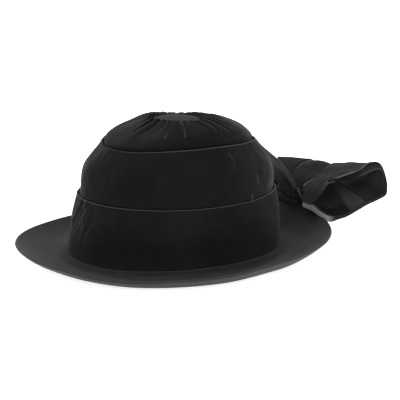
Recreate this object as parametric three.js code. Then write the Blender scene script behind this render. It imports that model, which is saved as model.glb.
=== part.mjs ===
// A brimmed velvet hat: a felt brim, two velvet bands and a gathered tip that make the crown, a round
// top button, and a ribbon bow that stands off the back of the crown.
// Sizes are in millimetres. +X is the back of the hat, where the bow is, +Y its left side, +Z is up.
import * as THREE from "three";

// Driving sizes
const WALL = { felt: 2.5, velvet: 1.6, ribbon: 2.2 };
const CROWN_BASE = { halfLength: 105, halfWidth: 90 };
const BRIM = {
  width: 47.2, // from the crown's base line to the rim
  ledge: 7, // from the crown's base line in to the head opening
  // The rim's mean height, and how much it waves once, twice, three and four times round the hat:
  // alike on both sides, and from one side to the other
  rim: [15.9, 3.2, 2.3, -1.2, 0.4],
  rimSides: [0, 0.1, -0.5, 0.7],
  // The rim lifts under the bow, round an angle from the back.
  lift: { height: 6.5, angle: Math.PI / 30, spread: Math.PI / 12 },
  // How far out the brim lies on the table, as a share of its width: at the front and back, how much
  // more at the sides, how much of that moves from behind the ears to before them, and how wide a
  // ring lies flat
  valley: { ends: 0.32, sides: 0.08, forward: 0.31, flat: 0.11 },
};
// The crown's base line is low at the front and back and rises over the ears.
const BASE_LINE = { ends: 5.2, rise: 2.4, flat: 0.03 };
const BUTTON = { radius: 22.8, bottom: 125, rim: 128.4, top: 130, lean: 1 };
const PLEATS = { count: 24, depth: 1.1 };
// The gathers sink lower behind the button, most of all at this angle round the crown from the back.
const SINK = { angle: Math.PI / 3, depth: 4.3 };
const KNOT = { x: 140.8, y: -1, z: 37, radius: { x: 4.8, y: 5.4, z: 7 } };
const SIDES = 48; // straight steps round the brim and the bands

// Each row is a level of the crown's outer face: its height at the front and back, how much it rises
// at the sides, its half length and half width, and how far its centre leans back.
const LOWER_BAND = [
  { z: 5.6, rise: 2.4, a: 105, b: 90, lean: 0 },
  { z: 19.4, rise: 3.4, a: 104, b: 89.2, lean: 0.8 },
  { z: 38.2, rise: 2, a: 102, b: 87.7, lean: 1.4 },
  { z: 50.1, rise: 0.6, a: 100, b: 86.1, lean: 1.9 },
  { z: 61.2, rise: -0.5, a: 97, b: 83.7, lean: 2.2 },
];
const MIDDLE_BAND = [
  { z: 48.4, rise: 0.5, a: 94.6, b: 81.4, lean: 2.1 },
  { z: 57.7, rise: -0.3, a: 94.6, b: 81.5, lean: 2.2 },
  { z: 66.1, rise: 0, a: 94.6, b: 82, lean: 2.4 },
  { z: 74.1, rise: 0.8, a: 93.8, b: 81.6, lean: 2.8 },
  { z: 82, rise: 1.6, a: 92, b: 80.5, lean: 3.1 },
  { z: 89.8, rise: 2.5, a: 88.5, b: 77.9, lean: 3.5 },
  { z: 97.7, rise: 3.4, a: 82.6, b: 73.6, lean: 4 },
  { z: 107.4, rise: 4.8, a: 74.2, b: 67.1, lean: 4.7 },
];
const TIP = [
  { z: 96.5, rise: 4.2, a: 79.8, b: 71, lean: 4, pleat: 0 },
  { z: 104.7, rise: 4.8, a: 72.2, b: 65.2, lean: 4.6, pleat: 0 },
  { z: 110.5, rise: 5.2, a: 70.5, b: 63.6, lean: 4.9, pleat: 0.2 },
  { z: 116.6, rise: 4.8, a: 63.2, b: 58.6, lean: 6.8, pleat: 0.4 },
  { z: 121.7, rise: 3.9, a: 54.2, b: 52.3, lean: 9.2, pleat: 0.6 },
  { z: 126.5, rise: 2.4, a: 43.4, b: 44.1, lean: 9.3, pleat: 0.8 },
  { z: 129.8, rise: 1.2, a: 33.7, b: 35.4, lean: 7.9, pleat: 1 },
  { z: 130.9, rise: 0.3, a: 29.3, b: 29.7, lean: 5.7, pleat: 1 },
  { z: 127.8, rise: 0, a: 26, b: 26, lean: 1.4, pleat: 0.5 },
  { z: 124.3, rise: 0, a: 22, b: 22, lean: 1, pleat: 0 },
  { z: 123.8, rise: 0, a: 14, b: 14, lean: 1, pleat: 0 },
];

// The back drape, from the crown's back to the knot. A row gives its top line, the shoulder under it
// and its lower edge, with the distance from the hat's middle plane. Both sides are alike.
const DRAPE = [
  { topX: 89.6, topZ: 100, shoulderX: 96, shoulderY: 17, shoulderZ: 82, edgeX: 97, edgeY: 21, edgeZ: 66 },
  { topX: 101.2, topZ: 89, shoulderX: 104, shoulderY: 11.5, shoulderZ: 74, edgeX: 104, edgeY: 16, edgeZ: 60 },
  { topX: 118.4, topZ: 75, shoulderX: 118, shoulderY: 8, shoulderZ: 60, edgeX: 113, edgeY: 11, edgeZ: 51 },
  { topX: 130.4, topZ: 61, shoulderX: 128.4, shoulderY: 5.5, shoulderZ: 50, edgeX: 124, edgeY: 7, edgeZ: 43.5 },
  { topX: 138.2, topZ: 47.4, shoulderX: 135.4, shoulderY: 4, shoulderZ: 42.8, edgeX: 134, edgeY: 4.5, edgeZ: 38.5 },
];
// The two ties under it, from the lower band's top edge to the knot.
const TIE = [
  { topX: 97.6, topY: 24, topZ: 57, edgeX: 100, edgeY: 24, edgeZ: 48 },
  { topX: 110, topY: 15, topZ: 47.5, edgeX: 110, edgeY: 15.5, edgeZ: 39 },
  { topX: 124, topY: 8.2, topZ: 39.3, edgeX: 124, edgeY: 9, edgeZ: 32.4 },
  { topX: 135, topY: 3.8, topZ: 36, edgeX: 135.4, edgeY: 4.2, edgeZ: 30.6 },
];
// The bow's loops, from the knot over the top, round the outer turn and back below. A row gives the
// ribbon's two edges: the one on the loop's outer side and the one next to the other loop.
const RIGHT_LOOP = [
  { outerX: 139.5, outerY: -11, outerZ: 34, innerX: 147, innerY: -2.5, innerZ: 46 },
  { outerX: 142, outerY: -24, outerZ: 35.5, innerX: 151, innerY: 0, innerZ: 48 },
  { outerX: 144, outerY: -35, outerZ: 47, innerX: 158, innerY: 2, innerZ: 50 },
  { outerX: 147, outerY: -41, outerZ: 56.5, innerX: 166, innerY: 4.5, innerZ: 52 },
  { outerX: 151, outerY: -46, outerZ: 61, innerX: 175, innerY: 7.5, innerZ: 55.5 },
  { outerX: 160, outerY: -53, outerZ: 65, innerX: 185, innerY: 10.3, innerZ: 60 },
  { outerX: 171, outerY: -62, outerZ: 72, innerX: 196, innerY: 10, innerZ: 62 },
  { outerX: 180, outerY: -69, outerZ: 79, innerX: 205, innerY: 5, innerZ: 62 },
  { outerX: 187, outerY: -74, outerZ: 78, innerX: 211, innerY: 0, innerZ: 59 },
  { outerX: 192, outerY: -76.5, outerZ: 66, innerX: 213, innerY: -4, innerZ: 55 },
  { outerX: 193, outerY: -77, outerZ: 55, innerX: 210, innerY: -4, innerZ: 50.5 },
  { outerX: 191.5, outerY: -76.5, outerZ: 48, innerX: 203, innerY: -2, innerZ: 47.5 },
  { outerX: 182, outerY: -75, outerZ: 43, innerX: 194, innerY: 0, innerZ: 45 },
  { outerX: 174, outerY: -72, outerZ: 39.5, innerX: 184, innerY: 1, innerZ: 45 },
  { outerX: 164, outerY: -67, outerZ: 33, innerX: 174, innerY: 2, innerZ: 40.5 },
  { outerX: 158, outerY: -61, outerZ: 27.5, innerX: 167, innerY: 2, innerZ: 38 },
  { outerX: 154, outerY: -52, outerZ: 21.5, innerX: 161, innerY: 2, innerZ: 36.5 },
  { outerX: 151.5, outerY: -41, outerZ: 17, innerX: 156, innerY: 1, innerZ: 36 },
  { outerX: 148, outerY: -30, outerZ: 21.5, innerX: 152, innerY: 0, innerZ: 35.5 },
  { outerX: 144.5, outerY: -20, outerZ: 26, innerX: 148, innerY: -1, innerZ: 35 },
  { outerX: 141, outerY: -11, outerZ: 28, innerX: 147, innerY: -2.5, innerZ: 34 },
];
const LEFT_LOOP = [
  { outerX: 140.5, outerY: 7, outerZ: 42, innerX: 146, innerY: 4.5, innerZ: 41 },
  { outerX: 143.5, outerY: 25, outerZ: 50, innerX: 159, innerY: 5, innerZ: 45.5 },
  { outerX: 149.5, outerY: 42, outerZ: 56.5, innerX: 173, innerY: 11, innerZ: 49 },
  { outerX: 157, outerY: 58, outerZ: 60.5, innerX: 189, innerY: 18, innerZ: 54.5 },
  { outerX: 164, outerY: 68, outerZ: 59.5, innerX: 200, innerY: 24, innerZ: 56 },
  { outerX: 167, outerY: 72, outerZ: 49, innerX: 204, innerY: 31, innerZ: 46 },
  { outerX: 162, outerY: 67, outerZ: 38, innerX: 200, innerY: 28.5, innerZ: 37 },
  { outerX: 152, outerY: 49, outerZ: 32, innerX: 184, innerY: 22, innerZ: 32 },
  { outerX: 145, outerY: 27, outerZ: 30, innerX: 163, innerY: 12, innerZ: 30 },
  { outerX: 141, outerY: 7.5, outerZ: 33, innerX: 146, innerY: 4.5, innerZ: 32.6 },
];
// How far the middle of a loop's outer turn stands out past the line between its two edges.
const BULGE = { right: 3, left: 10 };

// Colours, roughness and metalness as the photo shows them
const FELT = new THREE.MeshStandardMaterial({ color: 0x34342f, roughness: 0.95, metalness: 0 });
const VELVET = new THREE.MeshStandardMaterial({ color: 0x161518, roughness: 0.85, metalness: 0 });
const RIBBON = new THREE.MeshStandardMaterial({ color: 0x1b1b1c, roughness: 0.8, metalness: 0 });

// A smooth curve through the rows of a table, column by column; share runs from 0 to 1.
function tableAt(rows, share) {
  const place = share * (rows.length - 1);
  const i = Math.min(Math.floor(place), rows.length - 2);
  const f = place - i;
  const row = (k) => rows[THREE.MathUtils.clamp(k, 0, rows.length - 1)];
  const value = (key) => {
    const [before, from, to, after] = [row(i - 1)[key], row(i)[key], row(i + 1)[key], row(i + 2)[key]];
    const bend = 2 * before - 5 * from + 4 * to - after;
    const twist = 3 * from - before - 3 * to + after;
    return 0.5 * (2 * from + (to - before) * f + bend * f * f + twist * f * f * f);
  };
  return Object.fromEntries(Object.keys(rows[0]).map((key) => [key, value(key)]));
}

// 0 on the flat stretches at the front and back, 1 at the middle of each side
function sideShare(angle) {
  const across = Math.sin(angle) ** 2;
  return Math.max(0, (across - BASE_LINE.flat) / (1 - BASE_LINE.flat));
}

// A closed wall of even thickness behind surface(u, v), where u and v run from 0 to 1. A ring closes
// on itself along u.
function wallBehind(surface, wall, stepsU, stepsV, ring) {
  const NUDGE = 1e-3;
  const at = (u, v) => surface(ring ? u : THREE.MathUtils.clamp(u, 0, 1), THREE.MathUtils.clamp(v, 0, 1));
  const columns = ring ? stepsU : stepsU + 1;
  const points = [];
  for (const depth of [0, wall]) {
    for (let i = 0; i < columns; i++) {
      for (let j = 0; j <= stepsV; j++) {
        const [u, v] = [i / stepsU, j / stepsV];
        const alongU = at(u + NUDGE, v).sub(at(u - NUDGE, v));
        const alongV = at(u, v + NUDGE).sub(at(u, v - NUDGE));
        const normal = alongU.cross(alongV).normalize();
        points.push(at(u, v).addScaledVector(normal, -depth));
      }
    }
  }
  const faces = [];
  const quad = (p, q, r, s) => faces.push(p, q, r, p, r, s);
  const front = (i, j) => (i % columns) * (stepsV + 1) + j;
  const back = (i, j) => front(i, j) + columns * (stepsV + 1);
  for (let i = 0; i < stepsU; i++) {
    for (let j = 0; j < stepsV; j++) {
      quad(front(i, j), front(i + 1, j), front(i + 1, j + 1), front(i, j + 1));
      quad(back(i, j), back(i, j + 1), back(i + 1, j + 1), back(i + 1, j));
    }
    quad(front(i, 0), back(i, 0), back(i + 1, 0), front(i + 1, 0));
    quad(front(i, stepsV), front(i + 1, stepsV), back(i + 1, stepsV), back(i, stepsV));
  }
  if (!ring) {
    for (let j = 0; j < stepsV; j++) {
      quad(front(0, j), front(0, j + 1), back(0, j + 1), back(0, j));
      quad(front(stepsU, j), back(stepsU, j), back(stepsU, j + 1), front(stepsU, j + 1));
    }
  }
  return new THREE.BufferGeometry().setFromPoints(points).setIndex(faces);
}

function named(name, geometry, material) {
  geometry.computeVertexNormals();
  const mesh = new THREE.Mesh(geometry, material);
  mesh.name = name;
  return mesh;
}

// Height of the brim's upper face, share being 0 at the crown's base line and 1 at the rim
function brimTop(angle, share) {
  const side = sideShare(angle);
  const base = BASE_LINE.ends + BASE_LINE.rise * side;
  const turned = THREE.MathUtils.euclideanModulo(angle - BRIM.lift.angle + Math.PI, 2 * Math.PI) - Math.PI;
  const lift = BRIM.lift.height * Math.exp(-((turned / BRIM.lift.spread) ** 4));
  const alike = BRIM.rim.reduce((height, wave, k) => height + wave * Math.cos(k * angle), 0);
  const rim = BRIM.rimSides.reduce((height, wave, k) => height + wave * Math.sin(k * angle), alike) + lift;
  const valley = BRIM.valley.ends + side * (BRIM.valley.sides - BRIM.valley.forward * Math.cos(angle));
  if (share < valley) {
    const down = THREE.MathUtils.smoothstep(share, 0, valley - BRIM.valley.flat);
    return THREE.MathUtils.lerp(base, WALL.felt, down);
  }
  const up = ((share - valley) / (1 - valley)) ** 2;
  return THREE.MathUtils.lerp(WALL.felt, rim, up);
}

function makeBrim() {
  const inside = -BRIM.ledge / BRIM.width;
  const upperFace = (u, v) => {
    const angle = 2 * Math.PI * u;
    const share = THREE.MathUtils.lerp(1, inside, v);
    const x = (CROWN_BASE.halfLength + BRIM.width * share) * Math.cos(angle);
    const y = (CROWN_BASE.halfWidth + BRIM.width * share) * Math.sin(angle);
    return new THREE.Vector3(x, y, brimTop(angle, share));
  };
  return named("brim", wallBehind(upperFace, WALL.felt, SIDES, 12, true), FELT);
}

// One velvet layer of the crown, through the levels of its table
function makeCrownLayer(name, levels, stepsRound, stepsUp) {
  const outerFace = (u, v) => {
    const angle = 2 * Math.PI * u;
    const level = tableAt(levels, v);
    const gathered = level.pleat ?? 0;
    const pleat = PLEATS.depth * gathered * Math.cos(PLEATS.count * angle);
    const sink = SINK.depth * gathered * Math.max(0, Math.cos(angle - SINK.angle)) ** 2;
    const x = level.lean + (level.a + pleat) * Math.cos(angle);
    const y = (level.b + pleat) * Math.sin(angle);
    return new THREE.Vector3(x, y, level.z + level.rise * sideShare(angle) + pleat / 2 - sink);
  };
  return named(name, wallBehind(outerFace, WALL.velvet, stepsRound, stepsUp, true), VELVET);
}

function makeButton() {
  const { radius, bottom, rim, top, lean } = BUTTON;
  const EDGE = 1.2; // rounding of the rim
  const profile = [
    new THREE.Vector2(0, bottom),
    new THREE.Vector2(radius - EDGE, bottom),
    new THREE.Vector2(radius, bottom + EDGE),
    new THREE.Vector2(radius, rim - EDGE),
    new THREE.Vector2(radius - EDGE, rim),
    new THREE.Vector2(radius * 0.55, THREE.MathUtils.lerp(rim, top, 0.75)),
    new THREE.Vector2(0, top),
  ];
  const geometry = new THREE.LatheGeometry(profile, 32).rotateX(Math.PI / 2);
  const button = named("top_button", geometry, FELT);
  button.position.x = lean;
  return button;
}

function makeDrape() {
  const face = (u, v) => {
    const row = tableAt(DRAPE, u);
    const columns = [
      { x: row.edgeX, y: -row.edgeY, z: row.edgeZ },
      { x: row.shoulderX, y: -row.shoulderY, z: row.shoulderZ },
      { x: row.topX, y: 0, z: row.topZ },
      { x: row.shoulderX, y: row.shoulderY, z: row.shoulderZ },
      { x: row.edgeX, y: row.edgeY, z: row.edgeZ },
    ];
    const { x, y, z } = tableAt(columns, v);
    return new THREE.Vector3(x, y, z);
  };
  return named("back_drape", wallBehind(face, WALL.ribbon, 8, 10, false), RIBBON);
}

// side is -1 for the right tie and 1 for the left one
function makeTie(name, side) {
  const face = (u, v) => {
    const row = tableAt(TIE, u);
    const top = new THREE.Vector3(row.topX, side * row.topY, row.topZ);
    const edge = new THREE.Vector3(row.edgeX, side * row.edgeY, row.edgeZ);
    return side < 0 ? top.lerp(edge, v) : edge.lerp(top, v);
  };
  return named(name, wallBehind(face, WALL.ribbon, 6, 3, false), RIBBON);
}

function makeKnot() {
  const geometry = new THREE.SphereGeometry(1, 16, 12).scale(KNOT.radius.x, KNOT.radius.y, KNOT.radius.z);
  const knot = named("bow_knot", geometry, RIBBON);
  knot.position.set(KNOT.x, KNOT.y, KNOT.z);
  return knot;
}

function makeLoop(name, rows, bulge, steps) {
  const face = (u, v) => {
    const row = tableAt(rows, u);
    const outer = new THREE.Vector3(row.outerX, row.outerY, row.outerZ);
    const inner = new THREE.Vector3(row.innerX, row.innerY, row.innerZ);
    const point = outer.lerp(inner, v);
    const away = new THREE.Vector3(point.x - KNOT.x, point.y - KNOT.y, 0).normalize();
    const stand = bulge * Math.sin(Math.PI * u) ** 2 * Math.sin(Math.PI * v);
    return point.addScaledVector(away, stand);
  };
  return named(name, wallBehind(face, WALL.ribbon, steps, 6, false), RIBBON);
}

const hat = new THREE.Group();
hat.add(
  makeBrim(),
  makeCrownLayer("lower_band", LOWER_BAND, SIDES, 5),
  makeCrownLayer("middle_band", MIDDLE_BAND, SIDES, 9),
  makeCrownLayer("gathered_tip", TIP, PLEATS.count * 3, 11),
  makeButton(),
  makeDrape(),
  makeTie("right_tie", -1),
  makeTie("left_tie", 1),
  makeKnot(),
  makeLoop("right_bow_loop", RIGHT_LOOP, BULGE.right, 34),
  makeLoop("left_bow_loop", LEFT_LOOP, BULGE.left, 22),
);

// The part stands on the origin: the middle of its box in X and Y, and its lowest point in Z.
const box = new THREE.Box3().setFromObject(hat, true);
const middle = box.getCenter(new THREE.Vector3());
hat.position.set(-middle.x, -middle.y, -box.min.z);
const part = new THREE.Group();
part.add(hat);

export default part;
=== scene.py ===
from math import cos, pi, radians, sin, tau

import bmesh
import bpy
import numpy as np
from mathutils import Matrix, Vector


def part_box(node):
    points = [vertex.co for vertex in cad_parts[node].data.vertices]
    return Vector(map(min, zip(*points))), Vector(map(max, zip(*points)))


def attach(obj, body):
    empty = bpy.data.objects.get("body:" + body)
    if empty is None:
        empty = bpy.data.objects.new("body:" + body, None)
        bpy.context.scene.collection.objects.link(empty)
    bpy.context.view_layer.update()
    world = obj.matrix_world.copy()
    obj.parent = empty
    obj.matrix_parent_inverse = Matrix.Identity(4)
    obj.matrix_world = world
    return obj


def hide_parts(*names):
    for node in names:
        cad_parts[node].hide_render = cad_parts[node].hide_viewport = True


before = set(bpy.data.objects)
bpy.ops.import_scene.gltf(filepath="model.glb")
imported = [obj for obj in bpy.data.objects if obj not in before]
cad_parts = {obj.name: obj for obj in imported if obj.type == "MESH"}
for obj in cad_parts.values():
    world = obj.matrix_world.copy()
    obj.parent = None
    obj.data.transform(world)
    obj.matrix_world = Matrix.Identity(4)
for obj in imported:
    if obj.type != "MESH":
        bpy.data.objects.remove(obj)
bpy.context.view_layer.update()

# Sizes are in metres, and tables of sections are in millimetres. +X is the back of the hat, +Z is up.
MM = 0.001
rng = np.random.default_rng(7)

# The hat's own axis, which runs through the middle of the brim
brim_low, brim_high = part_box("brim")
AXIS = Vector(((brim_low[0] + brim_high[0]) / 2, (brim_low[1] + brim_high[1]) / 2, 0.0))

# Thickness of the felt, the velvet and the ribbon
FELT_WALL = 2.5
VELVET_WALL = 1.6
RIBBON_WALL = 1.6

# The brim and the crown's base line
BASE_HALF_LENGTH = 105
BASE_HALF_WIDTH = 90
BRIM_WIDTH = 47.2
BRIM_LEDGE = 7
RIM_WAVES = (15.9, 3.2, 2.3, -1.2, 0.4)
RIM_SIDE_WAVES = (0, 0.1, -0.5, 0.7)
BASE_ENDS = 5.2
BASE_RISE = 2.4
BASE_FLAT = 0.03
VALLEY_ENDS, VALLEY_SIDES, VALLEY_FORWARD, VALLEY_FLAT = 0.32, 0.08, 0.31, 0.11
# The rim lifts a little under the bow: by how much, and the angles of its middle and half width
LIFT_HEIGHT, LIFT_MIDDLE, LIFT_SPREAD = 6.5, radians(6), radians(15)

# Levels of the crown's outer face: height at the front and back, rise at the sides, half length,
# half width, lean of the centre to the back, and for the tip the depth of its pleats
LEVEL = ("z", "rise", "a", "b", "lean", "pleat")
LOWER_BAND = (
    (5.6, 2.4, 105, 90, 0, 0),
    (19.4, 3.4, 104, 89.2, 0.8, 0),
    (38.2, 2, 102, 87.7, 1.4, 0),
    (50.1, 0.6, 100, 86.1, 1.9, 0),
    (61.2, -0.5, 97, 83.7, 2.2, 0),
)
MIDDLE_BAND = (
    (48.4, 0.5, 94.6, 81.4, 2.1, 0),
    (57.7, -0.3, 94.6, 81.5, 2.2, 0),
    (66.1, 0, 94.6, 82, 2.4, 0),
    (74.1, 0.8, 93.8, 81.6, 2.8, 0),
    (82, 1.6, 92, 80.5, 3.1, 0),
    (89.8, 2.5, 88.5, 77.9, 3.5, 0),
    (97.7, 3.4, 82.6, 73.6, 4, 0),
    (107.4, 4.8, 74.2, 67.1, 4.7, 0),
)
TIP = (
    (96.5, 4.2, 79.8, 71, 4, 0),
    (104.7, 4.8, 72.2, 65.2, 4.6, 0),
    (110.5, 5.2, 70.5, 63.6, 4.9, 0.2),
    (116.6, 4.8, 63.2, 58.6, 6.8, 0.4),
    (121.7, 3.9, 54.2, 52.3, 9.2, 0.6),
    (126.5, 2.4, 43.4, 44.1, 9.3, 0.8),
    (129.8, 1.2, 33.7, 35.4, 7.9, 1),
    (130.9, 0.3, 29.3, 29.7, 5.7, 1),
    (127.8, 0, 26, 26, 1.4, 0.5),
    (124.3, 0, 22, 22, 1, 0),
    (123.8, 0, 14, 14, 1, 0),
)
# The gathers sink lower behind the button, most of all at this angle round the crown from the back.
SINK_ANGLE = pi / 3
SINK_DEPTH = 4.3
BUTTON_RADIUS = 22.8
BUTTON_BOTTOM, BUTTON_RIM, BUTTON_TOP = 125, 128.4, 130
BUTTON_LEAN = 1
PLEATS = 32

# The drape from the crown's back to the knot: its top line, the shoulder under it and its lower edge
DRAPE_ROW = ("topX", "topZ", "shoulderX", "shoulderY", "shoulderZ", "edgeX", "edgeY", "edgeZ")
DRAPE = (
    (89.6, 100, 96, 17, 82, 97, 21, 66),
    (101.2, 89, 104, 11.5, 74, 104, 16, 60),
    (118.4, 75, 118, 8, 60, 113, 11, 51),
    (130.4, 61, 128.4, 5.5, 50, 124, 7, 43.5),
    (138.2, 47.4, 135.4, 4, 42.8, 134, 4.5, 38.5),
)
# The ties under it, from the lower band's top edge to the knot
TIE_ROW = ("topX", "topY", "topZ", "edgeX", "edgeY", "edgeZ")
TIE = (
    (97.6, 24, 58, 100, 24, 48),
    (110, 15, 52, 110, 15.5, 39),
    (124, 8.2, 41.8, 124, 9, 32.4),
    (135, 3.8, 37, 135.4, 4.2, 30.6),
)
KNOT = (140.8, -1, 37)
KNOT_RADII = (4.8, 5.4, 7)

# The bow's loops, from the knot over the top, round the outer turn and back below: the ribbon's outer
# edge, its edge next to the other loop, and how deep the outer edge is turned down as a hem
LOOP_ROW = ("outerX", "outerY", "outerZ", "innerX", "innerY", "innerZ", "hem")
RIGHT_LOOP = (
    (139.5, -11, 34, 147, -2.5, 46, 0),
    (142, -24, 35.5, 151, 0, 48, 0),
    (144, -35, 47, 158, 2, 50, 0),
    (147, -41, 56.5, 166, 4.5, 52, 0.6),
    (151, -46, 61, 175, 7.5, 55.5, 2),
    (160, -53, 65, 185, 10.3, 60, 4.3),
    (171, -62, 72, 196, 10, 62, 6.6),
    (180, -69, 79, 205, 5, 62, 7.6),
    (187, -74, 78, 211, 0, 59, 6.4),
    (192, -76.5, 66, 213, -4, 55, 4),
    (193, -77, 55, 210, -4, 50.5, 1.5),
    (191.5, -76.5, 48, 203, -2, 47.5, 1),
    (182, -75, 43, 194, 0, 45, 0.5),
    (174, -72, 39.5, 184, 1, 45, 0.5),
    (164, -67, 33, 174, 2, 40.5, 0.5),
    (158, -61, 27.5, 167, 2, 38, 0.5),
    (154, -52, 24.8, 161, 2, 36.5, 2),
    (151.5, -41, 23.4, 156, 1, 36, 5),
    (148, -30, 27, 152, 0, 35.5, 5.5),
    (144.5, -20, 32, 148, -1, 35, 6),
    (141, -11, 32, 147, -2.5, 34, 4),
)
LEFT_LOOP = (
    (140.5, 7, 42, 146, 4.5, 41, 0),
    (143.5, 25, 50, 159, 5, 45.5, 0),
    (149.5, 42, 56.5, 173, 11, 49, 0),
    (157, 58, 60.5, 189, 18, 54.5, 0),
    (164, 68, 59.5, 200, 24, 56, 0),
    (167, 72, 49, 204, 31, 46, 0),
    (162, 67, 38, 200, 28.5, 37, 0),
    (152, 49, 32, 184, 22, 32, 0),
    (145, 27, 30, 163, 12, 30, 0),
    (141, 7.5, 33, 146, 4.5, 32.6, 0),
)
BULGE_RIGHT, BULGE_LEFT = 3, 10
RIBBON_WIDTH = 75
HEM_SHARE = 0.1  # how much of the ribbon's steps the turned-down hem takes
HEM_SLANT = 0.12  # how far the hem leans out for each millimetre that it is turned down

# The photo's view: the camera's bearing and height over the base of the crown, its distance, and the
# point that it looks at, from the hat's axis
CAMERA_BEARING = radians(-30)
CAMERA_HEIGHT = radians(15.4)
CAMERA_DISTANCE = 1.5
BASE_HEIGHT = 0.0065
LOOK_AT = Vector((0.0261, -0.0030, 0.0472))
METRES_PER_PIXEL = 0.000957
IMAGE_PIXELS = 400
SENSOR_MM = 36
LIGHTS_AIM = Vector((0, 0, 0.06))
WHITE = (1, 1, 1, 1)


# Tables and surfaces. On each surface u runs round the hat or along the ribbon and v across, 0 to 1.
def curve_between(before, start, end, after, share):
    """A smooth curve from start to end, led by the values before and after them."""
    bend = 2 * before - 5 * start + 4 * end - after
    twist = 3 * start - before - 3 * end + after
    return 0.5 * (2 * start + (end - before) * share + bend * share**2 + twist * share**3)


def table_at(rows, names, share):
    """Each column of a table as a smooth curve, read at an array of shares from 0 to 1."""
    values = np.array(rows, float)
    last = len(values) - 1
    place = np.clip(share, 0, 1) * last
    low = np.minimum(place.astype(int), last - 1)
    near = [values[np.clip(low + k, 0, last)] for k in (-1, 0, 1, 2)]
    read = curve_between(*near, (place - low)[..., None])
    return {name: read[..., k] for k, name in enumerate(names)}


def smooth_step(x, low, high):
    t = np.clip((x - low) / (high - low), 0, 1)
    return t * t * (3 - 2 * t)


def bell(x, centre, width):
    return np.exp(-(((x - centre) / width) ** 2))


def angle_from(u, degrees):
    """Signed difference from an angle, in degrees, between -180 and 180."""
    return (u * 360 - degrees + 180) % 360 - 180


def spot(u, middle, half_width):
    """1 at one angle round the hat, fading on both sides. The back is 0 degrees, the right is -90."""
    return bell(angle_from(u, middle), 0, half_width)


def side_share(angle):
    """0 at the hat's front and back, 1 at its sides."""
    return np.maximum(0, (np.sin(angle) ** 2 - BASE_FLAT) / (1 - BASE_FLAT))


class Ripples:
    """Smooth random unevenness over space, about -1 to 1. wave is its length in millimetres."""

    def __init__(self, wave):
        count = 14
        directions = rng.normal(size=(count, 3))
        directions /= np.linalg.norm(directions, axis=1)[:, None]
        self.turns = directions * tau / (wave * rng.uniform(0.7, 1.6, (count, 1)))
        self.starts = rng.uniform(0, tau, count)
        self.scale = 1.4 / count**0.5

    def __call__(self, points):
        return self.scale * np.sin(points @ self.turns.T + self.starts).sum(-1)


def normals_of(points, ring):
    """Unit normals of a grid of points; the grid closes on itself along its first axis if ring."""
    if ring:
        along = np.roll(points, -1, 0) - np.roll(points, 1, 0)
    else:
        along = np.gradient(points, axis=0)
    across = np.gradient(points, axis=1)
    normal = np.cross(along, across)
    return normal / np.maximum(np.linalg.norm(normal, axis=-1, keepdims=True), 1e-12)


def border_rings(grid_index, ring):
    """The grid's open borders, each a closed run of grid positions that turns as the faces do."""
    count_u, count_v = grid_index.shape
    if ring:
        first = [(i, 0) for i in range(count_u)]
        last = [(i, count_v - 1) for i in reversed(range(count_u))]
        return [first, last]
    run = [(i, 0) for i in range(count_u)]
    run += [(count_u - 1, j) for j in range(1, count_v)]
    run += [(i, count_v - 1) for i in reversed(range(count_u - 1))]
    run += [(0, j) for j in reversed(range(1, count_v - 1))]
    return [run]


EDGE_ARCS = 3  # rows of points round each cut or folded edge


def cloth_shell(name, surface, wall, steps, ring, relief, light):
    """A closed wall of cloth with rounded edges, whose outer face is surface(u, v).

    steps counts the faces along u and v; ring says that u closes on itself.
    relief(u, v, points) raises the outer and inner face alike along the normal, in millimetres.
    light(u, v, points) paints tone and light together: up to 1 where the pile is worn, folded pale
    or given a painted highlight, down to -1 where it is dark or given painted shade; it becomes the
    vertex attribute pale. It gives one array for both faces, or a pair for the outer and the inner
    face.
    """
    steps_u, steps_v = steps
    u = np.linspace(0, 1, steps_u + 1)[: steps_u if ring else None]
    v = np.linspace(0, 1, steps_v + 1)
    grid_u, grid_v = np.meshgrid(u, v, indexing="ij")
    points = surface(grid_u, grid_v)
    points = points + normals_of(points, ring) * relief(grid_u, grid_v, points)[..., None]
    normal = normals_of(points, ring)
    inner = points - normal * wall
    shape = points.shape[:2]
    index = np.arange(shape[0] * shape[1]).reshape(shape)
    count = index.size
    vertices = [points.reshape(-1, 3), inner.reshape(-1, 3)]
    lit = light(grid_u, grid_v, points)
    pale = np.clip(lit if isinstance(lit, tuple) else (lit, lit), -1, 1)
    pale_parts = [pale[0].ravel(), pale[1].ravel()]
    next_u = np.roll(index, -1, 0) if ring else index[1:]
    here = index if ring else index[:-1]
    quads = np.stack([here[:, :-1], next_u[:, :-1], next_u[:, 1:], here[:, 1:]], -1).reshape(-1, 4)
    faces = [quads, quads[:, ::-1] + count]
    offset = 2 * count
    for run in border_rings(index, ring):
        rows, columns = np.array(run).T
        outer_ids = index[rows, columns]
        edge_points = points[rows, columns]
        edge_normal = normal[rows, columns]
        forward = np.roll(edge_points, -1, 0) - np.roll(edge_points, 1, 0)
        outward = np.cross(forward, edge_normal)
        outward /= np.maximum(np.linalg.norm(outward, axis=1, keepdims=True), 1e-12)
        middle = edge_points - edge_normal * wall / 2
        strips = [outer_ids]
        for k in range(1, EDGE_ARCS + 1):
            turn = pi * k / (EDGE_ARCS + 1)
            arc = middle + (edge_normal * cos(turn) + outward * sin(turn)) * wall / 2
            vertices.append(arc)
            pale_parts.append(pale.mean(0)[rows, columns])
            strips.append(np.arange(offset, offset + len(run)))
            offset += len(run)
        strips.append(outer_ids + count)
        for upper, lower in zip(strips, strips[1:]):
            faces.append(np.stack([upper, lower, np.roll(lower, -1), np.roll(upper, -1)], -1))
    mesh = bpy.data.meshes.new(name)
    place = np.array(AXIS) + np.concatenate(vertices) * MM
    mesh.from_pydata(place.tolist(), [], np.concatenate(faces).tolist())
    mesh.validate()
    set_pale(mesh, np.concatenate(pale_parts))
    return finish_mesh(name, mesh)


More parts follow.
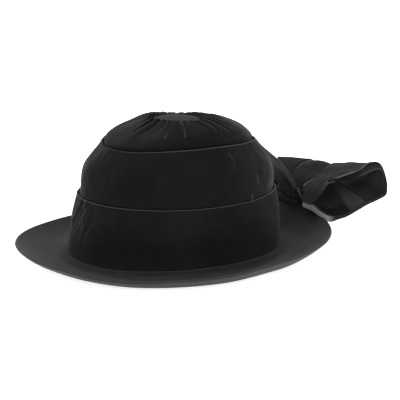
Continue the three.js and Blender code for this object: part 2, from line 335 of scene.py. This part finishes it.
def stacked_rings(name, rings, pale):
    """A closed solid through rings with the same number of points each, capped at both ends."""
    sides = len(rings[0])
    faces = []
    for k in range(len(rings) - 1):
        for i in range(sides):
            j = (i + 1) % sides
            faces.append((k * sides + i, k * sides + j, (k + 1) * sides + j, (k + 1) * sides + i))
    faces.append(tuple(reversed(range(sides))))
    faces.append(tuple(range((len(rings) - 1) * sides, len(rings) * sides)))
    mesh = bpy.data.meshes.new(name)
    place = np.array(AXIS) + np.concatenate(rings) * MM
    mesh.from_pydata(place.tolist(), [], faces)
    set_pale(mesh, pale)
    return finish_mesh(name, mesh)


def set_pale(mesh, values):
    attribute = mesh.attributes.new("pale", "FLOAT", "POINT")
    attribute.data.foreach_set("value", np.asarray(values, np.float32))


def finish_mesh(name, mesh):
    """An object from the mesh, its faces turned outward and shaded smooth."""
    work = bmesh.new()
    work.from_mesh(mesh)
    bmesh.ops.recalc_face_normals(work, faces=work.faces)
    if work.calc_volume(signed=True) < 0:
        bmesh.ops.reverse_faces(work, faces=work.faces)
    work.to_mesh(mesh)
    work.free()
    mesh.polygons.foreach_set("use_smooth", [True] * len(mesh.polygons))
    piece = bpy.data.objects.new(name, mesh)
    bpy.context.scene.collection.objects.link(piece)
    return piece


# Materials
class Nodes:
    """Short calls for building one material's nodes."""

    def __init__(self, name):
        self.material = bpy.data.materials.new(name)
        self.material.use_nodes = True
        self.tree = self.material.node_tree
        self.shader = self.tree.nodes["Principled BSDF"]
        self.position = self.add("ShaderNodeTexCoord").outputs["Object"]

    def add(self, kind, **settings):
        node = self.tree.nodes.new(kind)
        for key, value in settings.items():
            setattr(node, key, value)
        return node

    def link(self, source, target):
        self.tree.links.new(source, target)

    def noise(self, scale, detail, stretch=(1, 1, 1)):
        mapping = self.add("ShaderNodeMapping")
        mapping.inputs["Scale"].default_value = stretch
        self.link(self.position, mapping.inputs["Vector"])
        noise = self.add("ShaderNodeTexNoise")
        noise.inputs["Scale"].default_value = scale
        noise.inputs["Detail"].default_value = detail
        self.link(mapping.outputs["Vector"], noise.inputs["Vector"])
        return noise.outputs["Fac"]

    def between(self, value, low, high, to_low=0.0, to_high=1.0):
        node = self.add("ShaderNodeMapRange")
        limits = {"From Min": low, "From Max": high, "To Min": to_low, "To Max": to_high}
        for name, number in limits.items():
            node.inputs[name].default_value = number
        self.link(value, node.inputs["Value"])
        return node.outputs["Result"]

    def math(self, operation, first, second):
        node = self.add("ShaderNodeMath", operation=operation)
        for socket, value in zip(node.inputs, (first, second)):
            if isinstance(value, (int, float)):
                socket.default_value = value
            else:
                self.link(value, socket)
        return node.outputs["Value"]

    def mix(self, amount, first, second):
        node = self.add("ShaderNodeMix", data_type="RGBA")
        sockets = [s for s in node.inputs if s.type == "RGBA"]
        for socket, value in zip(sockets, (first, second)):
            if isinstance(value, tuple):
                socket.default_value = (*value, 1)
            else:
                self.link(value, socket)
        self.link(amount, node.inputs["Factor"])
        return next(s for s in node.outputs if s.type == "RGBA")

    def attribute(self, name):
        return self.add("ShaderNodeAttribute", attribute_name=name).outputs["Fac"]

    def bump(self, height, strength, distance):
        node = self.add("ShaderNodeBump")
        node.inputs["Strength"].default_value = strength
        node.inputs["Distance"].default_value = distance
        self.link(height, node.inputs["Height"])
        self.link(node.outputs["Normal"], self.shader.inputs["Normal"])

    def set(self, **values):
        for name, value in values.items():
            self.shader.inputs[name.replace("_", " ")].default_value = value


# The pile's colour where it is even and where it is brushed, and a pale colour for folded, crushed and
# worn pile and for painted highlights
CROWN_PILE = {
    "even": (0.0035, 0.0035, 0.0037),
    "brushed": (0.007, 0.007, 0.0074),
    "pale_tone": (0.075, 0.075, 0.077),
}
RIBBON_PILE = {
    "even": (0.007, 0.007, 0.0072),
    "brushed": (0.013, 0.013, 0.0128),
    "pale_tone": (0.3, 0.3, 0.294),
}
BUTTON_PILE = {
    "even": (0.01, 0.01, 0.0103),
    "brushed": (0.016, 0.016, 0.016),
    "pale_tone": (0.09, 0.09, 0.09),
}


def velvet(name, pile, sheen):
    """Velvet: a dark pile with brushed patches, paler where it is folded or crushed or painted with a
    highlight, darker under painted shade, and a sheen.
    """
    nodes = Nodes(name)
    brushed = nodes.between(nodes.noise(scale=22, detail=2), 0.38, 0.68)
    streaks = nodes.noise(scale=160, detail=3, stretch=(1, 1, 0.18))
    streaks = nodes.between(streaks, 0.4, 0.7, to_low=0, to_high=0.2)
    patches = nodes.math("ADD", nodes.math("MULTIPLY", brushed, 0.25), streaks)
    colour = nodes.mix(patches, pile["even"], pile["brushed"])
    # The attribute pale holds the pile's own marks and painted light together: above 0 pale folds,
    # crush marks and painted highlights, below 0 painted shade.
    tone_and_painted_light = nodes.attribute("pale")
    painted_shade_colour = tuple(channel * 0.35 for channel in pile["even"])
    shaded = nodes.mix(nodes.between(tone_and_painted_light, -1, 0), painted_shade_colour, colour)
    broken = nodes.between(nodes.noise(scale=400, detail=2), 0.3, 0.6, to_low=0.75, to_high=1)
    pale_tone = nodes.math("MULTIPLY", tone_and_painted_light, broken)
    nodes.link(nodes.mix(pale_tone, shaded, pile["pale_tone"]), nodes.shader.inputs["Base Color"])
    rough = nodes.between(brushed, 0, 1, to_low=0.95, to_high=0.8)
    nodes.link(rough, nodes.shader.inputs["Roughness"])
    nodes.set(Sheen_Weight=sheen, Sheen_Roughness=0.35, Specular_IOR_Level=0.1)
    nodes.set(Sheen_Tint=(0.62, 0.64, 0.68, 1))
    fibres = nodes.noise(scale=2600, detail=2)
    height = nodes.math("ADD", fibres, nodes.math("MULTIPLY", brushed, 0.3))
    nodes.bump(height, strength=0.35, distance=0.0004)
    return nodes.material


# The felt's own dark and light mottling, a painted shade colour, and a pale colour for the front tip
# and for painted light
FELT_COLOURS = {
    "dark": (0.011, 0.0112, 0.0105),
    "light": (0.021, 0.021, 0.0195),
    "painted_shade": (0.0008, 0.0008, 0.0008),
    "pale_and_lit": (0.05, 0.05, 0.046),
}


def felt(name):
    """Pressed wool felt: fibres and faint mottling, paler towards the front tip and under painted
    light, and darker under painted shade.
    """
    nodes = Nodes(name)
    mottle = nodes.between(nodes.noise(scale=30, detail=4), 0.35, 0.7)
    fibres = nodes.between(nodes.noise(scale=900, detail=4), 0.35, 0.7)
    half_mottle = nodes.math("MULTIPLY", mottle, 0.5)
    half_fibres = nodes.math("MULTIPLY", fibres, 0.5)
    blend = nodes.math("ADD", half_mottle, half_fibres)
    colour = nodes.mix(blend, FELT_COLOURS["dark"], FELT_COLOURS["light"])
    tone_and_painted_light = nodes.attribute("pale")
    shaded = nodes.mix(nodes.between(tone_and_painted_light, -1, 0), FELT_COLOURS["painted_shade"], colour)
    pale_and_lit = nodes.mix(tone_and_painted_light, shaded, FELT_COLOURS["pale_and_lit"])
    nodes.link(pale_and_lit, nodes.shader.inputs["Base Color"])
    nodes.set(Roughness=0.92, Sheen_Weight=0.1, Sheen_Roughness=0.5, Specular_IOR_Level=0.12)
    nodes.bump(nodes.math("ADD", fibres, mottle), strength=0.4, distance=0.0005)
    return nodes.material


# The brim
def brim_top(angle, share):
    side = side_share(angle)
    base = BASE_ENDS + BASE_RISE * side
    rim = sum(wave * np.cos(k * angle) for k, wave in enumerate(RIM_WAVES))
    rim = rim + sum(wave * np.sin(k * angle) for k, wave in enumerate(RIM_SIDE_WAVES))
    turned = (angle + pi) % tau - pi
    rim = rim + LIFT_HEIGHT * np.exp(-(((turned - LIFT_MIDDLE) / LIFT_SPREAD) ** 4))
    valley = VALLEY_ENDS + side * (VALLEY_SIDES - VALLEY_FORWARD * np.cos(angle))
    down = smooth_step(share, 0, valley - VALLEY_FLAT)
    up = (np.maximum(0, share - valley) / (1 - valley)) ** 2
    near_crown = base + (FELT_WALL - base) * down
    near_rim = FELT_WALL + (rim - FELT_WALL) * up
    return np.where(share < valley, near_crown, near_rim)


def make_brim(material):
    ledge = -BRIM_LEDGE / BRIM_WIDTH
    buckle = Ripples(70)

    def share_of(v):
        """The share of the brim's width, from the rim at 1 to the ledge under the crown, below 0."""
        return 1 + (ledge - 1) * v

    def upper_face(u, v):
        angle = tau * u
        share = share_of(v)
        x = (BASE_HALF_LENGTH + BRIM_WIDTH * share) * np.cos(angle)
        y = (BASE_HALF_WIDTH + BRIM_WIDTH * share) * np.sin(angle)
        return np.stack([x, y, brim_top(angle, share)], -1)

    def relief(u, v, points):
        # The felt is slightly buckled where it lies free, and stays flat where it meets the table.
        free = smooth_step(points[..., 2], FELT_WALL + 0.4, FELT_WALL + 3)
        free = free * smooth_step(1 - v, 0.15, 0.35)
        return 0.45 * buckle(points) * free

    def light(u, v, points):
        share = share_of(v)
        # Paler towards the front tip
        pale_tone = 0.3 * spot(u, 160, 28) * smooth_step(share, 0.35, 0.8)
        front = spot(u, -133, 48)
        # Painted shade over the front of the brim's top
        painted_front_shade = 0.45 * front * (1 - smooth_step(share, 0.8, 0.95))
        # Painted shadow of the crown at its foot, deepest in front.
        painted_shade = (0.55 + 0.45 * front) * (1 - smooth_step(share, 0.08, 0.22))
        # Painted light on the front of the rim's edge, as from the floor below
        rim = 0.25 * bell(v, 0, 0.01) * spot(u, -120, 75)
        return pale_tone + rim - np.maximum(painted_front_shade, painted_shade)

    piece = cloth_shell("felt_brim", upper_face, FELT_WALL, (288, 56), True, relief, light)
    piece.data.materials.append(material)
    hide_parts("brim")
    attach(piece, "root")


# The crown
def crown_face(levels):
    def face(u, v):
        angle = tau * u
        level = table_at(levels, LEVEL, v)
        x = level["lean"] + level["a"] * np.cos(angle)
        y = level["b"] * np.sin(angle)
        sink = SINK_DEPTH * level["pleat"] * np.maximum(0, np.cos(angle - SINK_ANGLE)) ** 2
        z = level["z"] + level["rise"] * side_share(angle) - sink
        return np.stack([x, y, z], -1)

    return face


# Marks where the pile is crushed: the angle and the share up the layer of each end, the half width in
# millimetres, and the strength
CRUSH_MARKS = (
    (-127.6, 0.84, -127, 0.60, 0.6, 0.16),
    (-81, 0.92, -79, 0.85, 0.6, 0.32),
    (-79, 0.85, -81, 0.70, 0.6, 0.24),
    (-62.5, 0.56, -61.5, 0.44, 0.9, 0.44),
    (-67.5, 0.27, -66.5, 0.12, 1.1, 0.6),
)
# Painted highlights along the crests of sharp pleats that run from the button far down the tip, in the
# same columns
PLEAT_HIGHLIGHTS = (
    (-151, 0.62, -146, 0.45, 0.9, 0.4),
    (-146, 0.45, -141.5, 0.3, 0.8, 0.24),
    (-123, 0.62, -116, 0.34, 0.9, 0.5),
    (-116, 0.34, -112, 0.22, 0.8, 0.3),
    (-136, 0.41, -132, 0.31, 0.9, 0.5),
    (-83, 0.6, -82, 0.28, 0.8, 0.2),
    (-74, 0.6, -66, 0.36, 0.8, 0.28),
    (176, 0.55, 186, 0.32, 0.8, 0.2),
)


def crush(marks, u, v, radius, height):
    """How strongly the marks crush each point, 0 to 1, on a layer of this radius and height."""
    total = np.zeros_like(u)
    for angle_a, share_a, angle_b, share_b, half_width, strength in marks:
        x = np.radians(angle_from(u, angle_a)) * radius
        y = (v - share_a) * height
        dx = radians(angle_b - angle_a) * radius
        dy = (share_b - share_a) * height
        along = np.clip((x * dx + y * dy) / (dx * dx + dy * dy), 0, 1)
        distance = np.hypot(x - along * dx, y - along * dy)
        total = np.maximum(total, strength * np.exp(-((distance / half_width) ** 2)))
    return np.clip(total, 0, 1)


def make_lower_band(material):
    soft = Ripples(45)
    gathers = Ripples(9)

    def relief(u, v, points):
        # The band is gathered in small folds at the front, and its top edge is turned to a lip.
        gathered_at, folds_in_turn = 176, 26
        front = spot(u, gathered_at, 15) * smooth_step(v, 0.15, 0.6)
        round_from_there = np.radians(angle_from(u, gathered_at))
        folds = np.sin(round_from_there * folds_in_turn + 2 * soft(points))
        lip = 0.5 * bell(v, 0.975, 0.02)
        return 0.35 * soft(points) + front * (0.8 * folds + 0.3 * gathers(points)) + lip

    def light(u, v, points):
        # Pale along the folded top edge, partly worn pile and partly a painted highlight; painted
        # highlights along the foot at the front and at the right, painted light low on the band, and a
        # painted sheen streak beside the bow
        folded_edge = 0.75 * bell(v, 1, 0.008)
        foot_highlights = spot(u, 178, 24) + spot(u, -40, 12)
        foot = 0.9 * bell(v, 0.008, 0.013) * foot_highlights + 0.08 * (1 - smooth_step(v, 0, 0.35))
        sheen_streak = spot(u, -31, 2.2) * smooth_step(v, 0.05, 0.2)
        return folded_edge + foot + 0.17 * sheen_streak

    piece = cloth_shell(
        "velvet_lower_band", crown_face(LOWER_BAND), VELVET_WALL, (420, 56), True, relief, light
    )
    piece.data.materials.append(material)
    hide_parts("lower_band")
    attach(piece, "root")


def make_middle_band(material):
    soft = Ripples(40)
    fine = Ripples(13)

    def crushed(u, v):
        return crush(CRUSH_MARKS, u, v, radius=88, height=62)

    def relief(u, v, points):
        shows = smooth_step(v, 0.18, 0.3)
        lip = 0.4 * bell(v, 0.98, 0.016)
        return shows * (0.45 * soft(points) + 0.12 * fine(points) - 0.6 * crushed(u, v)) + lip

    def light(u, v, points):
        # Painted sheen at the back of the right side: a broad pale patch, and a brighter painted
        # highlight beside the drape.
        pale_and_lit = spot(u, -42, 11) * bell(v, 0.4, 0.22)
        beside_drape = spot(u, -31, 6 + 6 * bell(v, 0.25, 0.15)) * (1 - smooth_step(v, 0.6, 0.9))
        # The folded top edge is pale, partly worn pile and partly a painted highlight; painted shade
        # lies on the left shoulder and over the front.
        seam = 0.75 * bell(v, 1, 0.008) * (1 - spot(u, 168, 14))
        shoulder = smooth_step(v, 0.7, 0.9) * spot(u, -170, 35)
        front = spot(u, -118, 32) * bell(v, 0.5, 0.3)
        dark = 0.4 * shoulder + 0.3 * front
        return seam + crushed(u, v) + 0.12 * pale_and_lit + 0.5 * beside_drape - dark

    piece = cloth_shell(
        "velvet_middle_band", crown_face(MIDDLE_BAND), VELVET_WALL, (420, 72), True, relief, light
    )
    piece.data.materials.append(material)
    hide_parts("middle_band")
    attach(piece, "root")


def make_tip(material):
    soft = Ripples(30)
    wander = Ripples(26)
    sway = 0.0025
    pleat_depth, mean_height = 2.6, 0.76
    strength = rng.uniform(0.6, 1.2, PLEATS)
    spacing = np.cumsum(rng.uniform(0.75, 1.3, PLEATS))
    starts = np.concatenate([[0], spacing]) / spacing[-1]
    reach = rng.uniform(0.12, 0.5, PLEATS)

    def pleats(u, v, points):
        """Height from 0 in the valleys to 1 on the puffs, and how strongly each pleat shows there."""
        place = (u + sway * wander(points)) % 1
        number = np.clip(np.searchsorted(starts, place, side="right") - 1, 0, PLEATS - 1)
        inside = (place - starts[number]) / (starts[number + 1] - starts[number])
        # A valley is shared by the pleats on its two sides, so there their reach and strength blend.
        other = np.where(inside < 0.5, number - 1, (number + 1) % PLEATS)
        near = np.abs(inside - 0.5) * 2
        far = smooth_step(near, 0.2, 1) * 0.5
        start = reach[number] * (1 - far) + reach[other] * far
        size = strength[number] * (1 - far) + strength[other] * far
        return np.sin(pi * inside) ** 0.45, size * smooth_step(v, start, start + 0.28)

    def depth(v):
        return table_at(TIP, LEVEL, v)["pleat"]

    def relief(u, v, points):
        shows = smooth_step(v, 0.1, 0.2)
        height, size = pleats(u, v, points)
        unevenness = 0.4 * soft(points) * (1 - smooth_step(v, 0.75, 0.9))
        puffed = 0.6 * bell(v, 0.19, 0.05)
        pleated = pleat_depth * depth(v) * (height - mean_height) * size
        return shows * (pleated + unevenness + puffed)

    def light(u, v, points):
        height, size = pleats(u, v, points)
        # Painted shade in the valleys of the pleats, and a faint painted highlight on their ridges
        ridge = smooth_step(height, 0.95, 1) * size
        valley = (1 - smooth_step(height, 0.3, 0.85)) * size
        # Painted highlights along the sharp pleats' crests
        pleat_highlights = crush(PLEAT_HIGHLIGHTS, u, v, radius=50, height=85)
        # Painted light and shade: darker all over and more in front, lighter low on the right side, and
        # paler towards the button.
        drawn = smooth_step(v, 0.5, 0.66)
        front = spot(u, -150, 40) * (1 - drawn)
        right = spot(u, -66, 28) * bell(v, 0.24, 0.12)
        tone_and_painted_light = 0.3 * drawn - 0.42 - 0.28 * front + 0.45 * right
        return (0.12 * ridge - 0.9 * valley) * depth(v) + tone_and_painted_light + 2 * pleat_highlights

    piece = cloth_shell(
        "velvet_gathered_tip", crown_face(TIP), VELVET_WALL, (600, 74), True, relief, light
    )
    piece.data.materials.append(material)
    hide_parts("gathered_tip")
    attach(piece, "root")


def make_button(material):
    """A covered button: a rounded rim, a shallow dome, and cloth drawn a little uneven over it."""
    uneven = Ripples(16)
    rim_round = 1.5
    tiny = 0.02
    sides, rim_steps, dome_steps = 96, 8, 16
    flat_radius = BUTTON_RADIUS - rim_round
    middle = (BUTTON_BOTTOM + BUTTON_RIM) / 2
    profile = [(tiny, BUTTON_BOTTOM), (flat_radius, BUTTON_BOTTOM)]
    for k in range(rim_steps + 1):
        turn = -pi / 2 + pi * k / rim_steps
        radius = flat_radius + rim_round * cos(turn)
        profile.append((radius, middle + (BUTTON_RIM - BUTTON_BOTTOM) / 2 * sin(turn)))
    for share in np.linspace(0.93, 0, dome_steps):
        rise = (BUTTON_TOP - BUTTON_RIM) * (1 - share**2)
        profile.append((max(tiny, flat_radius * share), BUTTON_RIM + rise))
    angle = np.arange(sides) * tau / sides
    rings = []
    for radius, z in profile:
        x = BUTTON_LEAN + radius * np.cos(angle)
        ring = np.stack([x, radius * np.sin(angle), np.full(sides, z)], -1)
        if z > BUTTON_RIM:
            ring[:, 2] += 0.16 * uneven(ring)
        rings.append(ring)
    piece = stacked_rings("velvet_top_button", rings, np.zeros(len(rings) * sides))
    piece.data.materials.append(material)
    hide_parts("top_button")
    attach(piece, "root")


# The bow
def make_drape(material):
    soft = Ripples(18)

    def face(u, v):
        row = table_at(DRAPE, DRAPE_ROW, u)
        zero = np.zeros_like(u)
        columns = [
            (row["edgeX"], -row["edgeY"], row["edgeZ"]),
            (row["shoulderX"], -row["shoulderY"], row["shoulderZ"]),
            (row["topX"], zero, row["topZ"]),
            (row["shoulderX"], row["shoulderY"], row["shoulderZ"]),
            (row["edgeX"], row["edgeY"], row["edgeZ"]),
        ]
        stack = np.stack([np.stack(column, -1) for column in columns])
        last = len(columns) - 1
        place = v * last
        low = np.minimum(place.astype(int), last - 1)
        rows, cols = np.indices(u.shape)
        near = [stack[np.clip(low + k, 0, last), rows, cols] for k in (-1, 0, 1, 2)]
        return curve_between(*near, (place - low)[..., None])

    def relief(u, v, points):
        # Folds run along the drape, deeper towards the knot; both flanks are hollow under the top line.
        half_folds = 9
        folds = np.sin(v * half_folds * pi + 1.5 * soft(points)) * smooth_step(u, 0.1, 0.6)
        hollow = bell(v, 0.24, 0.12) + bell(v, 0.76, 0.12)
        ridge = bell(v, 0.5, 0.025)
        flanks = 0.2 * folds - 1.6 * hollow * smooth_step(u, 0.15, 0.5)
        return flanks + 0.2 * soft(points) + 0.5 * ridge

    def light(u, v, points):
        # Painted highlight on the top line, painted shade at the lower edges and in the hollows of the
        # flanks, and a little painted light on the flanks
        down = np.abs(v - 0.5)
        edges = 0.5 * bell(down, 0, 0.02) - 0.6 * bell(down, 0.5, 0.04)
        flank = 0.09 * bell(down, 0.13, 0.09) * smooth_step(u, 0.1, 0.3)
        hollow = 0.8 * bell(down, 0.34, 0.1) * smooth_step(u, 0.3, 0.6)
        return edges + flank - hollow

    piece = cloth_shell("velvet_drape", face, RIBBON_WALL, (80, 96), False, relief, light)
    piece.data.materials.append(material)
    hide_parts("back_drape")
    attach(piece, "root")


def make_tie(side, material):
    """One of the two ribbon ends under the drape; side is -1 for the right one and 1 for the left."""
    name = "right_tie" if side < 0 else "left_tie"
    soft = Ripples(14)
    fold_at = 0.42

    def down_of(v):
        return v if side < 0 else 1 - v

    def face(u, v):
        row = table_at(TIE, TIE_ROW, u)
        top = np.stack([row["topX"], side * row["topY"], row["topZ"]], -1)
        edge = np.stack([row["edgeX"], side * row["edgeY"], row["edgeZ"]], -1)
        return top + (edge - top) * down_of(v)[..., None]

    def relief(u, v, points):
        fold = 1.1 * bell(down_of(v), fold_at, 0.14)
        return fold - 0.5 * bell(down_of(v), 0.8, 0.2) + 0.25 * soft(points)

    def light(u, v, points):
        # Painted highlight along the fold, and painted shade over the rest of the tie
        return 1.1 * bell(down_of(v), fold_at, 0.07) - 0.9

    piece = cloth_shell("velvet_" + name, face, RIBBON_WALL, (60, 20), False, relief, light)
    piece.data.materials.append(material)
    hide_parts(name)
    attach(piece, "root")


def make_knot(material):
    """The knot: the ribbon drawn tight round the gathers, in folds that run up and over."""
    around, up = 120, 80
    swell = 1.08
    fold_depth = 0.14
    uneven = Ripples(7)
    angle = np.arange(around) * tau / around
    rings = []
    pale = []
    for j in range(1, up):
        tilt = pi * j / up
        flank = sin(tilt) ** 0.75
        unit = np.stack([flank * np.cos(angle), flank * np.sin(angle), np.full(around, cos(tilt))], -1)
        wave = np.cos(4 * angle + 2.6 * cos(tilt))
        folds = 1 + fold_depth * (np.maximum(wave, -0.4) - 0.3) * sin(tilt)
        ring = np.array(KNOT) + unit * np.array(KNOT_RADII) * swell * folds[:, None]
        rings.append(ring + unit * 0.25 * uneven(ring)[:, None])
        # Painted highlights on the crests of the folds
        pale.append(0.25 * smooth_step(wave, 0.75, 1))
    piece = stacked_rings("velvet_knot", rings, np.concatenate(pale))
    piece.data.materials.append(material)
    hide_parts("bow_knot")
    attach(piece, "root")


def across_of(v):
    """The share of the way from the ribbon's outer to its inner edge; 0 all over the hem."""
    return np.clip((v - HEM_SHARE) / (1 - HEM_SHARE), 0, 1)


def loop_face(rows, bulge):
    """The loop's ribbon: v runs across the hem first, then from the outer to the inner edge."""

    def face(u, v):
        row = table_at(rows, LOOP_ROW, u)
        across = across_of(v)
        hem = np.clip(1 - v / HEM_SHARE, 0, 1)
        outer = np.stack([row["outerX"], row["outerY"], row["outerZ"]], -1)
        inner = np.stack([row["innerX"], row["innerY"], row["innerZ"]], -1)
        point = outer + (inner - outer) * across[..., None]
        away = point[..., :2] - np.array(KNOT[:2])
        away /= np.linalg.norm(away, axis=-1, keepdims=True)
        stand = bulge * np.sin(pi * u) ** 2 * np.sin(pi * across)
        point[..., :2] += away * stand[..., None]
        turn_down = row["hem"] * hem
        point[..., 2] -= turn_down
        point[..., :2] += away * HEM_SLANT * turn_down[..., None]
        # The cloth keeps some width where the hem is shallow, so no two steps share a point.
        point += (outer - inner) / RIBBON_WIDTH * (0.6 * hem)[..., None]
        return point

    return face


def make_right_loop(material):
    soft = Ripples(30)
    fine = Ripples(11)
    fold_at = 0.655

    def relief(u, v, points):
        across = across_of(v)
        near_knot = 0.12 * bell(u, 0, 0.1) + 0.5 * bell(u, 1, 0.1)
        gathers = np.cos(across * 6 * pi + 1.2 * soft(points)) * near_knot
        # A fold of the lower layer stands up inside the loop, from its outer edge to its inner one.
        steep = bell(u, fold_at, 0.012) * (u < fold_at) + bell(u, fold_at, 0.05) * (u >= fold_at)
        fold = 3.2 * steep * smooth_step(across, 0, 0.12)
        edge = 1 - smooth_step(v, 0, HEM_SHARE * 1.3)
        return (gathers + 0.4 * soft(points) + 0.1 * fine(points) - fold) * (1 - edge)

    def light(u, v, points):
        across = across_of(v)
        past_turn = smooth_step(u, 0.4, 0.46)
        top = 1 - past_turn
        # The upper layer: a painted highlight runs along its rolled outer edge, and the hem under it
        # gets painted shade, lifted by painted light near the knot, past the middle and at its cut
        # edge.
        roll_at = HEM_SHARE * 1.2
        spread = np.where(v < roll_at, 0.025, 0.11)
        rolled_highlight = bell(v, roll_at, spread) * smooth_step(u, 0.12, 0.18)
        hem = 1 - smooth_step(v, HEM_SHARE * 0.75, HEM_SHARE)
        hem_lit = 0.44 * smooth_step(u, 0.24, 0.31) - 0.42 + 0.09 * bell(v, 0, 0.018)
        hem_lit = hem_lit + 0.52 * (1 - smooth_step(u, 0.19, 0.25))
        # Painted shade over the upper face past the knot, and painted light along its inner edge
        upper = 0.05 * bell(u, 0, 0.16) - 0.42 * smooth_step(u, 0.12, 0.25) + 0.3 * bell(v, 1, 0.02)
        bright = 0.3 - 0.15 * smooth_step(u, 0.33, 0.37)
        upper = upper * (1 - hem) * (1 - rolled_highlight) + bright * rolled_highlight * (1 - hem) + hem_lit * hem
        # The lower layer: painted light on the fold inside the loop, on the side towards the knot, in a
        # triangle that widens to the outer edge; painted light in the turn, and past the fold painted
        # shade towards that edge.
        deep = smooth_step(across, 0.03, 0.5)
        inside = smooth_step(v, 0.11, 0.14)
        flank_end = 0.662 + 0.066 * (1 - across)
        past_flank = smooth_step(u, flank_end - 0.012, flank_end + 0.012)
        flank = smooth_step(u, 0.652, 0.66) * (1 - past_flank)
        turn = past_turn * (1 - smooth_step(u, fold_at - 0.01, fold_at))
        lower = flank * (0.08 + 0.18 * deep) + turn * (0.02 + 0.2 * deep)
        lower = lower + past_flank * (0.16 * deep - 0.08)
        lower = lower + 0.1 * bell(u, 0.5, 0.05)
        # Painted light on the lower layer's hem near its end, and a little along its cut edge
        flap = (1 - smooth_step(v, HEM_SHARE * 0.85, HEM_SHARE * 1.05)) * smooth_step(u, 0.81, 0.86)
        near_edge = 0.06 * (1 - smooth_step(v, 0.09, 0.13)) * smooth_step(u, 0.45, 0.5)
        return top * upper, (1 - top) * (lower * inside + flap + near_edge)

    face = loop_face(RIGHT_LOOP, BULGE_RIGHT)
    piece = cloth_shell("velvet_right_loop", face, RIBBON_WALL, (300, 100), False, relief, light)
    piece.data.materials.append(material)
    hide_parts("right_bow_loop")
    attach(piece, "root")


def make_left_loop(material):
    soft = Ripples(32)

    def pleat_line(u, v):
        """Distance from the slanting pleat, and where it shows: on the upper layer."""
        pleat_start = 0.21
        upper = smooth_step(u, 0, 0.04) * (1 - smooth_step(u, 0.45, 0.55))
        return v - pleat_start - u, upper

    def relief(u, v, points):
        near_knot = bell(u, 0, 0.22) + bell(u, 1, 0.22)
        gathers = np.cos(v * 6 * pi + 1.2 * soft(points)) * near_knot
        distance, upper = pleat_line(u, v)
        steep = bell(distance, 0, 0.02) * (distance < 0)
        gentle = bell(distance, 0, 0.12) * (distance >= 0)
        pleat = 1.6 * (steep + gentle)
        return 0.25 * gathers + 0.4 * soft(points) + pleat * upper

    def light(u, v, points):
        distance, upper = pleat_line(u, v)
        # Painted highlight along the pleat and both edges, and painted shade over the rest of the
        # ribbon
        pleat = 0.8 * bell(distance, 0, 0.022) * upper
        return pleat + 0.15 * (bell(v, 0, 0.02) + bell(v, 1, 0.02)) - 0.4

    face = loop_face(LEFT_LOOP, BULGE_LEFT)
    piece = cloth_shell("velvet_left_loop", face, RIBBON_WALL, (220, 80), False, relief, light)
    piece.data.materials.append(material)
    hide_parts("left_bow_loop")
    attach(piece, "root")


# Floor, light and camera
def make_floor():
    mesh = bpy.data.meshes.new("floor")
    half = 12
    corners = [(-half, -half, 0), (half, -half, 0), (half, half, 0), (-half, half, 0)]
    mesh.from_pydata(corners, [], [(0, 1, 2, 3)])
    floor = bpy.data.objects.new("floor", mesh)
    bpy.context.scene.collection.objects.link(floor)
    material = bpy.data.materials.new("floor_paper")
    material.use_nodes = True
    shader = material.node_tree.nodes["Principled BSDF"]
    shader.inputs["Base Color"].default_value = (0.93, 0.93, 0.93, 1)
    shader.inputs["Roughness"].default_value = 0.9
    # The paper shines a little by itself, as on a light table, so that hardly any shadow shows.
    shader.inputs["Emission Color"].default_value = WHITE
    shader.inputs["Emission Strength"].default_value = 0.8
    mesh.materials.append(material)


def add_light(name, place, size, power):
    data = bpy.data.lights.new(name, "AREA")
    data.shape = "DISK"
    data.size = size
    data.energy = power
    light = bpy.data.objects.new(name, data)
    light.location = place
    light.rotation_euler = (LIGHTS_AIM - light.location).to_track_quat("-Z", "Y").to_euler()
    bpy.context.scene.collection.objects.link(light)


def make_light():
    world = bpy.data.worlds.new("studio")
    world.use_nodes = True
    background = world.node_tree.nodes["Background"]
    background.inputs["Color"].default_value = WHITE
    background.inputs["Strength"].default_value = 1.25
    bpy.context.scene.world = world
    add_light("overhead", place=(-0.3, -0.6, 2.2), size=1.6, power=5)
    add_light("back", place=(1.2, 1.4, 1.3), size=1.2, power=4)


def make_camera():
    base = AXIS + Vector((0, 0, BASE_HEIGHT))
    level = cos(CAMERA_HEIGHT)
    away = Vector((sin(CAMERA_BEARING) * level, -cos(CAMERA_BEARING) * level, sin(CAMERA_HEIGHT)))
    data = bpy.data.cameras.new("camera")
    data.sensor_width = SENSOR_MM
    data.lens = SENSOR_MM * CAMERA_DISTANCE / (METRES_PER_PIXEL * IMAGE_PIXELS)
    camera = bpy.data.objects.new("camera", data)
    camera.location = base + away * CAMERA_DISTANCE
    aim = AXIS + LOOK_AT
    camera.rotation_euler = (aim - camera.location).to_track_quat("-Z", "Y").to_euler()
    bpy.context.scene.collection.objects.link(camera)
    bpy.context.scene.camera = camera


make_camera()
make_floor()
make_light()
bpy.context.scene.view_settings.view_transform = "Standard"

crown_velvet = velvet("black_velvet", CROWN_PILE, sheen=0.09)
bow_velvet = velvet("ribbon_velvet", RIBBON_PILE, sheen=0.07)
button_velvet = velvet("button_velvet", BUTTON_PILE, sheen=0.085)
make_brim(felt("grey_black_felt"))
make_lower_band(crown_velvet)
make_middle_band(crown_velvet)
make_tip(crown_velvet)
make_button(button_velvet)
make_drape(bow_velvet)
make_tie(-1, bow_velvet)
make_tie(1, bow_velvet)
make_knot(bow_velvet)
make_right_loop(bow_velvet)
make_left_loop(bow_velvet)
